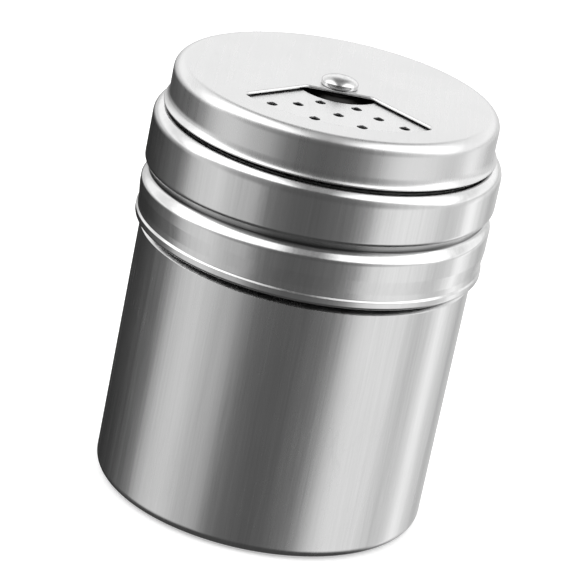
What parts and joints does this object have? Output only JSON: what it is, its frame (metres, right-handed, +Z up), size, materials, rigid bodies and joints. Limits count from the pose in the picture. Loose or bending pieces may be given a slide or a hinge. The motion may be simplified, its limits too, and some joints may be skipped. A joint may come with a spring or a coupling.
{
  "type": "spice shaker",
  "caption": "Cylindrical steel spice shaker with a screw-on lid and a turning dial whose window uncovers small holes, large holes or a pouring mouth.",
  "frame": {"origin": "centre of the ring that the jar stands on", "axes": "+Z up along the jar's axis; the dial's window faces -Y, 3.4 degrees towards +X"},
  "size_m": [0.0698, 0.0698, 0.0891],
  "materials": {
    "jar_steel": "brushed along the axis, satin",
    "lid_steel": "brushed, bright at the rolled edges",
    "dial_steel": "satin disc, bright rolled corner",
    "plate_steel": "satin",
    "rivet_steel": "polished",
    "washer_steel": "plain spring and washer steel",
    "seal_rubber": "translucent white silicone"
  },
  "bodies": {
    "jar": {"jar_body": "jar_steel"},
    "seal": {"sealing_ring": "seal_rubber"},
    "lid": {"lid_shell": "lid_steel", "sifter_plate": "plate_steel", "spring_washer": "washer_steel", "backing_washer": "washer_steel", "pivot_rivet": "rivet_steel"},
    "dial": {"dial_cap": "dial_steel"}
  },
  "joints": [
    {"name": "lid_lift", "type": "slide", "parent": "jar", "child": "seal", "axis": [0, 0, 1], "range_m": [0, 0.0226]},
    {"name": "lid_unscrew", "type": "hinge", "parent": "seal", "child": "lid", "pos_m": [0, 0, 0.0659], "axis": [0, 0, 1], "range_deg": [0, 1440]},
    {"name": "dial_turn", "type": "hinge", "parent": "lid", "child": "dial", "pos_m": [0, 0, 0.0871], "axis": [0, 0, 1], "continuous": true}
  ],
  "couplings": [
    {"joint": "lid_lift", "follows": "lid_unscrew", "m_per_rad": 0.00089127}
  ]
}
